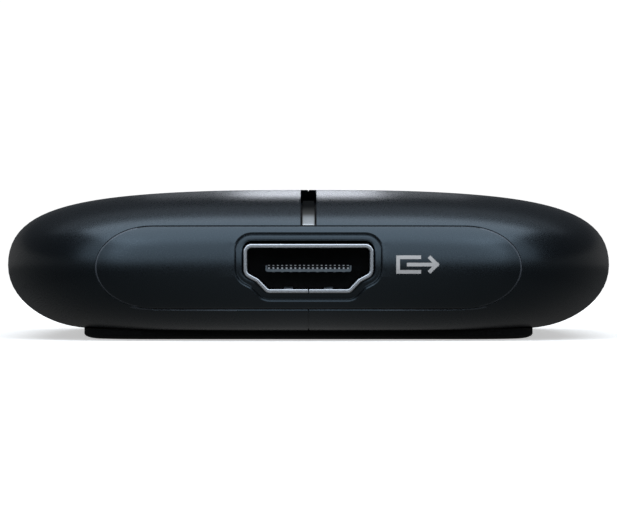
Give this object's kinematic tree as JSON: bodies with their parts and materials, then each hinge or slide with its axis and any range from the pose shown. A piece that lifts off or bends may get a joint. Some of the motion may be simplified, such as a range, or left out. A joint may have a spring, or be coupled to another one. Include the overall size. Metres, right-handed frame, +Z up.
{
  "type": "video capture box",
  "caption": "Pebble-shaped black box that passes video through and captures it: D-shaped video sockets in inset end panels, an oval data socket, a top light slot and a rubber base pad.",
  "frame": {"origin": "middle of the base pad's lower face, on the table under the middle of the box", "axes": "+X to the right when looking at the output end, +Y lengthwise from the output end to the input end, +Z up"},
  "size_m": [0.0732, 0.1119, 0.0177],
  "materials": {
    "casing": "fine satin grain",
    "panel": "fine satin grain",
    "guide": "polished, milky",
    "pad": "matte",
    "board": "lacquered laminate",
    "frame": "moulded",
    "screw": "zinc plated",
    "socket_metal": "nickel plated",
    "insulator": "moulded",
    "contact": "gold flash",
    "spring": "nickel plated",
    "chip": "moulded epoxy",
    "thermal": "soft silicone",
    "sink": "bare extrusion",
    "shield": "tin plated",
    "crystal": "metal can",
    "inductor": "pressed ferrite",
    "capacitor": "metal can",
    "passive": "ceramic",
    "led": "clear resin"
  },
  "bodies": {
    "casing": {"left_shell": "casing", "right_shell": "casing", "front_panel": "panel", "rear_panel": "panel", "light_guide": "guide", "base_pad": "pad", "main_board": "board", "chassis": "frame", "case_screws": "screw", "video_out_shell": "socket_metal", "video_out_tongue": "insulator", "video_out_contacts": "contact", "video_in_shell": "socket_metal", "video_in_tongue": "insulator", "video_in_contacts": "contact", "data_shell": "socket_metal", "data_tongue": "insulator", "data_contacts": "contact", "processor": "chip", "thermal_pad": "thermal", "heatsink": "sink", "video_receiver": "chip", "shield_frame": "shield", "shield_lid": "shield", "video_driver": "chip", "data_bridge": "chip", "memory_chips": "chip", "flash_chip": "chip", "clock_crystals": "crystal", "power_inductors": "inductor", "bulk_capacitors": "capacitor", "small_passives": "passive", "surge_arrays": "chip", "status_led": "led"},
    "out_finger_left": {"video_out_finger_left": "spring"},
    "out_finger_right": {"video_out_finger_right": "spring"},
    "in_finger_left": {"video_in_finger_left": "spring"},
    "in_finger_right": {"video_in_finger_right": "spring"}
  },
  "joints": [
    {"name": "out_finger_left_flex", "type": "hinge", "parent": "casing", "child": "out_finger_left", "pos_m": [-0.00228, -0.0485, 0.00573], "axis": [1, 0, 0], "range_deg": [0, 4], "stiffness_Nm_per_rad": 0.06},
    {"name": "out_finger_right_flex", "type": "hinge", "parent": "casing", "child": "out_finger_right", "pos_m": [0.00228, -0.0485, 0.00573], "axis": [1, 0, 0], "range_deg": [0, 4], "stiffness_Nm_per_rad": 0.06},
    {"name": "in_finger_left_flex", "type": "hinge", "parent": "casing", "child": "in_finger_left", "pos_m": [-0.00672, 0.04795, 0.00573], "axis": [-1, 0, 0], "range_deg": [0, 4], "stiffness_Nm_per_rad": 0.06},
    {"name": "in_finger_right_flex", "type": "hinge", "parent": "casing", "child": "in_finger_right", "pos_m": [-0.01128, 0.04795, 0.00573], "axis": [-1, 0, 0], "range_deg": [0, 4], "stiffness_Nm_per_rad": 0.06}
  ]
}
